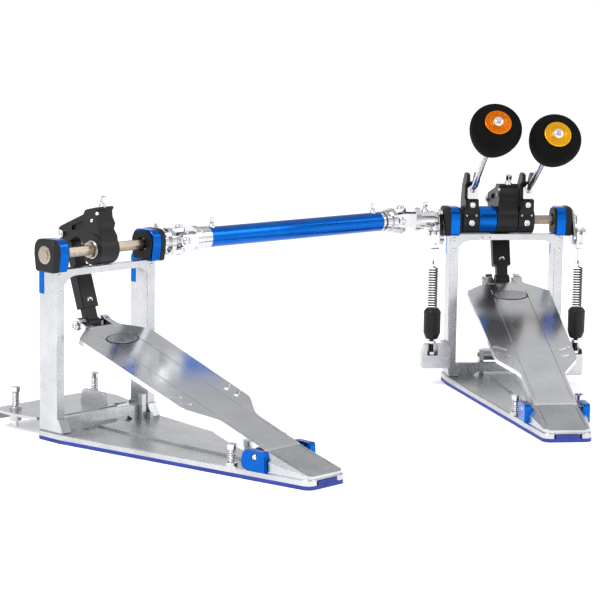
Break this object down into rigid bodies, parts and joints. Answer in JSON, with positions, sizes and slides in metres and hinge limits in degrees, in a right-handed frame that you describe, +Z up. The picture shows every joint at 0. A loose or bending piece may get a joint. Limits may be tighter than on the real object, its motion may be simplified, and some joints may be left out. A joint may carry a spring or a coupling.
{
  "type": "bass drum pedal",
  "caption": "Foot pedals with direct-drive links that swing padded beaters onto a bass drum, joined by a telescopic drive shaft with universal joints.",
  "frame": {"origin": "on the floor, under the middle of the main pedal's axle", "axes": "+Z up, +Y from the main pedal's heel towards the drum, +X along its axle to the player's right"},
  "size_m": [0.6912, 0.5706, 0.3389],
  "materials": {
    "alloy": "satin cast and machined",
    "polished_board": "polished",
    "blue_anodised": "satin anodised",
    "blue_rubber": "matt",
    "black_coat": "satin powder coat",
    "black_plastic": "fine texture",
    "steel": "drawn bar",
    "chrome": "bright",
    "head_rubber": "matt",
    "amber_anodised": "anodised",
    "gold_anodised": "anodised",
    "spring_steel": "blackened"
  },
  "bodies": {
    "main_base": {"right_rubber_plate": "blue_rubber", "right_base_plate": "alloy", "right_heel_plate": "alloy", "right_frame": "alloy", "right_bearing_rings": "blue_anodised", "right_bearings": "steel", "right_bearing_covers": "black_plastic", "right_hinge_covers": "blue_anodised", "right_hinge_pin": "steel", "right_anchor_bolts": "chrome", "hoop_clamp_pin": "steel", "spring_brackets": "alloy", "spring_barrels": "black_coat", "return_springs": "spring_steel"},
    "hoop_jaw": {"hoop_clamp_jaw": "alloy"},
    "right_rocker": {"right_axle": "steel", "right_cam": "black_coat", "right_link_pin": "chrome", "right_beater_holder": "black_coat", "right_clamp_block": "chrome", "right_beater_shaft": "chrome", "right_beater_head": "head_rubber", "right_beater_disc": "gold_anodised", "right_spring_arm": "chrome"},
    "right_link": {"right_link": "black_coat"},
    "right_board": {"right_footboard": "polished_board", "right_toe_pins": "chrome"},
    "left_beater": {"driven_axle": "steel", "spacer_ring": "blue_anodised", "left_beater_holder": "black_coat", "left_clamp_block": "chrome", "left_beater_shaft": "chrome", "left_beater_head": "head_rubber", "left_beater_disc": "amber_anodised", "left_spring_arm": "chrome", "right_axle_yoke": "chrome"},
    "right_hanger": {"right_spring_hanger": "chrome"},
    "left_hanger": {"left_spring_hanger": "chrome"},
    "shaft_rod": {"drive_rod": "steel", "rod_yoke": "chrome"},
    "second_base": {"left_rubber_plate": "blue_rubber", "left_base_plate": "alloy", "left_heel_plate": "alloy", "left_frame": "alloy", "left_bearing_rings": "blue_anodised", "left_bearings": "steel", "left_bearing_covers": "black_plastic", "left_hinge_covers": "blue_anodised", "left_hinge_pin": "steel", "left_anchor_bolts": "chrome", "outrigger_plate": "alloy"},
    "left_rocker": {"left_axle": "steel", "left_cam": "black_coat", "left_link_pin": "chrome", "left_axle_yoke": "chrome"},
    "left_link": {"left_link": "black_coat"},
    "left_board": {"left_footboard": "polished_board", "left_toe_pins": "chrome"},
    "shaft_tube": {"drive_tube": "blue_anodised", "tube_yoke": "chrome"}
  },
  "joints": [
    {"name": "right_axle_turn", "type": "hinge", "parent": "main_base", "child": "right_rocker", "pos_m": [0, 0, 0.195], "axis": [1, 0, 0], "range_deg": [-55, 0], "stiffness_Nm_per_rad": 1.6, "springref_deg": 20.05},
    {"name": "right_link_swing", "type": "hinge", "parent": "right_rocker", "child": "right_link", "pos_m": [0, 0.04713, 0.21405], "axis": [1, 0, 0], "range_deg": [0, 66]},
    {"name": "right_board_hinge", "type": "hinge", "parent": "main_base", "child": "right_board", "pos_m": [0, -0.2636, 0.0237], "axis": [1, 0, 0], "range_deg": [-10.6, 0]},
    {"name": "right_spring_pull", "type": "slide", "parent": "main_base", "child": "right_hanger", "axis": [0, -0.172, 0.9851], "range_m": [0, 0.02], "deforming": ["return_springs"]},
    {"name": "left_beater_turn", "type": "hinge", "parent": "main_base", "child": "left_beater", "pos_m": [0, 0, 0.195], "axis": [1, 0, 0], "range_deg": [-55.5, 0]},
    {"name": "left_spring_pull", "type": "slide", "parent": "main_base", "child": "left_hanger", "axis": [0, -0.172, 0.9851], "range_m": [0, 0.02], "deforming": ["return_springs"]},
    {"name": "rod_turn", "type": "hinge", "parent": "main_base", "child": "shaft_rod", "pos_m": [-0.1266, 0, 0.195], "axis": [0.8358, 0.5491, 0], "range_deg": [-55.5, 0]},
    {"name": "shaft_telescope", "type": "slide", "parent": "main_base", "child": "second_base", "axis": [-0.8358, -0.5491, 0], "range_m": [0, 0.06]},
    {"name": "left_axle_turn", "type": "hinge", "parent": "second_base", "child": "left_rocker", "pos_m": [-0.4838, -0.2475, 0.195], "axis": [0.7777, 0.6286, 0], "range_deg": [-55, 0], "stiffness_Nm_per_rad": 1.6, "springref_deg": 20.05},
    {"name": "left_link_swing", "type": "hinge", "parent": "left_rocker", "child": "left_link", "pos_m": [-0.51485, -0.20908, 0.207], "axis": [0.7777, 0.6286, 0], "range_deg": [0, 69]},
    {"name": "left_board_hinge", "type": "hinge", "parent": "second_base", "child": "left_board", "pos_m": [-0.31809, -0.4525, 0.0237], "axis": [0.7777, 0.6286, 0], "range_deg": [-10.6, 0]},
    {"name": "tube_turn", "type": "hinge", "parent": "second_base", "child": "shaft_tube", "pos_m": [-0.39911, -0.17904, 0.195], "axis": [0.8358, 0.5491, 0], "range_deg": [-55.5, 0]},
    {"name": "hoop_jaw_pivot", "type": "hinge", "parent": "main_base", "child": "hoop_jaw", "pos_m": [0, 0.012, 0.031], "axis": [1, 0, 0], "range_deg": [0, 14]}
  ],
  "couplings": [
    {"joint": "right_link_swing", "follows": "right_axle_turn", "ratio": -1.187},
    {"joint": "right_board_hinge", "follows": "right_axle_turn", "ratio": 0.18658},
    {"joint": "right_spring_pull", "follows": "right_axle_turn", "m_per_rad": -0.020588},
    {"joint": "left_link_swing", "follows": "left_axle_turn", "ratio": -1.2439},
    {"joint": "left_board_hinge", "follows": "left_axle_turn", "ratio": 0.18389},
    {"joint": "tube_turn", "follows": "left_axle_turn", "ratio": 1},
    {"joint": "rod_turn", "follows": "left_axle_turn", "ratio": 1},
    {"joint": "left_beater_turn", "follows": "left_axle_turn", "ratio": 1},
    {"joint": "left_spring_pull", "follows": "left_axle_turn", "m_per_rad": -0.020588}
  ]
}
